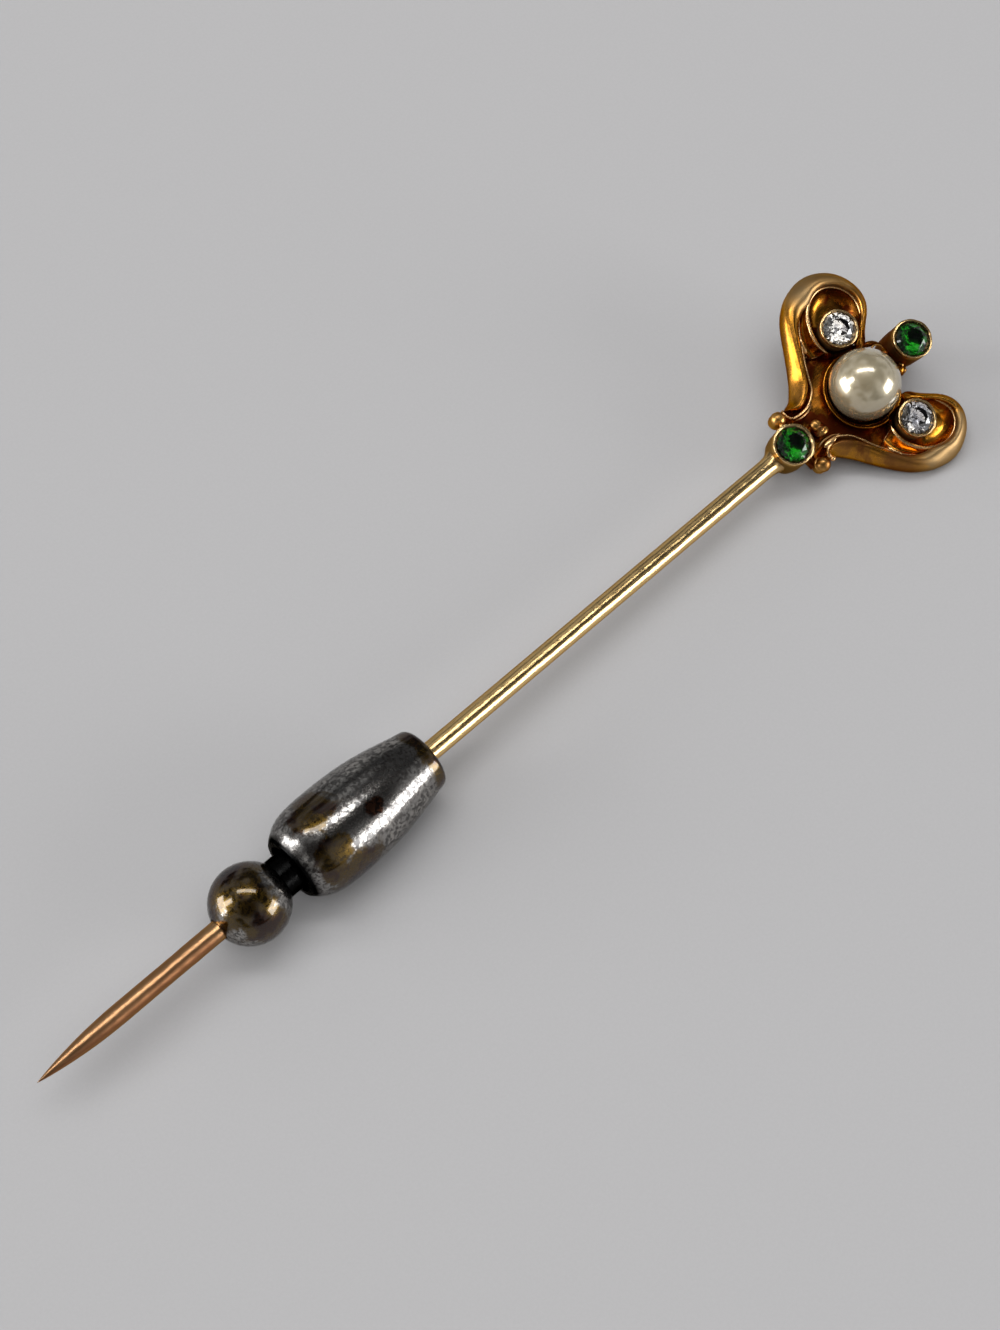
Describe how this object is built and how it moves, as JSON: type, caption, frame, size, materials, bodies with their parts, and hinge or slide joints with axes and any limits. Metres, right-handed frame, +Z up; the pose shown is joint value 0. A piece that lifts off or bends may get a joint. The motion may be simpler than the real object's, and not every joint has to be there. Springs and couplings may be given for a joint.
{
  "type": "stick pin",
  "caption": "Straight gold stick pin whose scrolled head holds a pearl, green stones and diamonds, with a sliding barrel keeper and pull ball on the stem.",
  "frame": {"origin": "middle of the lying pin's box, on the surface that it rests on", "axes": "+X from the point to the head, +Y across, towards the scroll that is held off the surface, +Z up"},
  "size_m": [0.0618, 0.0122, 0.0051],
  "materials": {
    "gold": "polished yellow gold, finely scratched",
    "pearl": "soft nacre lustre",
    "green_stone": "faceted, polished",
    "diamond": "faceted, polished",
    "keeper_metal": "dark grey plating, worn and tarnished"
  },
  "bodies": {
    "pin": {"gold_pin": "gold", "pearl": "pearl", "base_stone": "green_stone", "top_stone": "green_stone", "left_diamond": "diamond", "right_diamond": "diamond"},
    "keeper": {"keeper_barrel": "keeper_metal"},
    "release_ball": {"keeper_ball": "keeper_metal"}
  },
  "joints": [
    {"name": "keeper_slide", "type": "slide", "parent": "pin", "child": "keeper", "axis": [-0.9998, 0, 0.0209], "range_m": [-0.0253, 0.025]},
    {"name": "ball_pull", "type": "slide", "parent": "keeper", "child": "release_ball", "axis": [-0.9998, 0, 0.0209], "range_m": [0, 0.001], "stiffness_N_per_m": 50}
  ]
}
